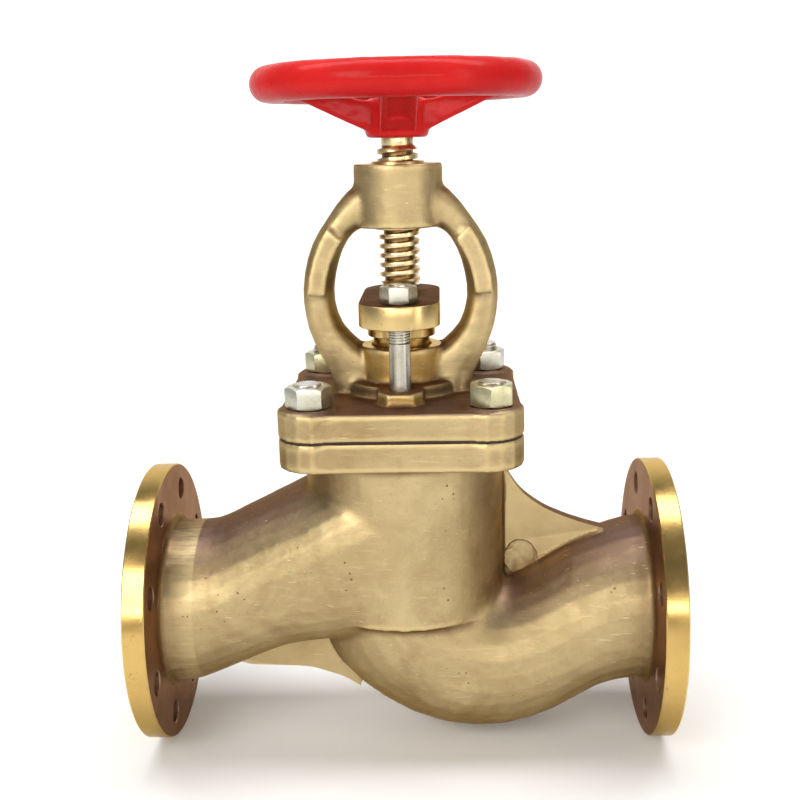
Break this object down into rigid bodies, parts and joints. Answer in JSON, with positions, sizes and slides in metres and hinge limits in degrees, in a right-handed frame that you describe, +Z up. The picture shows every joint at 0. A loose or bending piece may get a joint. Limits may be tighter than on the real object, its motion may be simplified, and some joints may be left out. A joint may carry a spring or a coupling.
{
  "type": "globe valve",
  "caption": "Flanged bronze globe valve with bolted square bonnet, open yoke, rising threaded stem and a red spoked handwheel that lifts the disc off its seat.",
  "frame": {"origin": "centre of the inlet flange's face, on the pipe axis", "axes": "+X is the inlet flange's outward normal, along the pipe axis, with the flow going towards -X; +Z is up, parallel to the stem, whose axis is at x = -0.205; +Y completes the right-handed frame"},
  "size_m": [0.41, 0.22, 0.526],
  "materials": {
    "cast_bronze": "sand cast, lightly fettled, satin",
    "machined_bronze": "turned, bright",
    "stem_bronze": "turned and threaded, greased",
    "plated_steel": "zinc plated, pale yellow tint",
    "stainless_steel": "bright",
    "gasket_fibre": "compressed fibre sheet",
    "packing_fibre": "graphited braid",
    "red_paint": "gloss enamel on cast iron"
  },
  "bodies": {
    "valve_body": {"body": "cast_bronze", "seat_ring": "machined_bronze", "bonnet": "cast_bronze", "bonnet_gasket": "gasket_fibre", "bonnet_studs": "plated_steel", "bonnet_nuts": "plated_steel", "yoke_bush": "machined_bronze", "bush_grub_screw": "plated_steel", "back_seat_bush": "machined_bronze", "packing_base_ring": "machined_bronze", "packing_rings": "packing_fibre", "gland_stud_front": "stainless_steel", "gland_stud_back": "stainless_steel"},
    "disc_group": {"disc": "cast_bronze", "disc_thrust_pad": "stainless_steel", "disc_retaining_nut": "machined_bronze", "disc_lock_screw": "stainless_steel"},
    "stem_group": {"stem": "stem_bronze", "handwheel": "red_paint", "handwheel_washer": "plated_steel", "handwheel_nut": "plated_steel"},
    "gland_group": {"gland": "machined_bronze"},
    "front_nut": {"gland_nut_front": "plated_steel"},
    "back_nut": {"gland_nut_back": "plated_steel"}
  },
  "joints": [
    {"name": "disc_lift", "type": "slide", "parent": "valve_body", "child": "disc_group", "axis": [0, 0, 1], "range_m": [0, 0.02801]},
    {"name": "stem_turn", "type": "hinge", "parent": "disc_group", "child": "stem_group", "pos_m": [-0.205, 0, 0.2], "axis": [0, 0, 1], "range_deg": [0, 1440]},
    {"name": "gland_press", "type": "slide", "parent": "valve_body", "child": "gland_group", "axis": [0, 0, 1], "range_m": [-0.005, 0], "deforming": ["packing_rings"]},
    {"name": "front_nut_turn", "type": "hinge", "parent": "gland_group", "child": "front_nut", "pos_m": [-0.205, -0.045, 0.253], "axis": [0, 0, 1], "range_deg": [-900, 0]},
    {"name": "back_nut_turn", "type": "hinge", "parent": "gland_group", "child": "back_nut", "pos_m": [-0.205, 0.045, 0.253], "axis": [0, 0, 1], "range_deg": [-900, 0]}
  ],
  "couplings": [
    {"joint": "disc_lift", "follows": "stem_turn", "m_per_rad": 0.0011141},
    {"joint": "front_nut_turn", "follows": "gland_press", "rad_per_m": 3141.6},
    {"joint": "back_nut_turn", "follows": "gland_press", "rad_per_m": 3141.6}
  ]
}
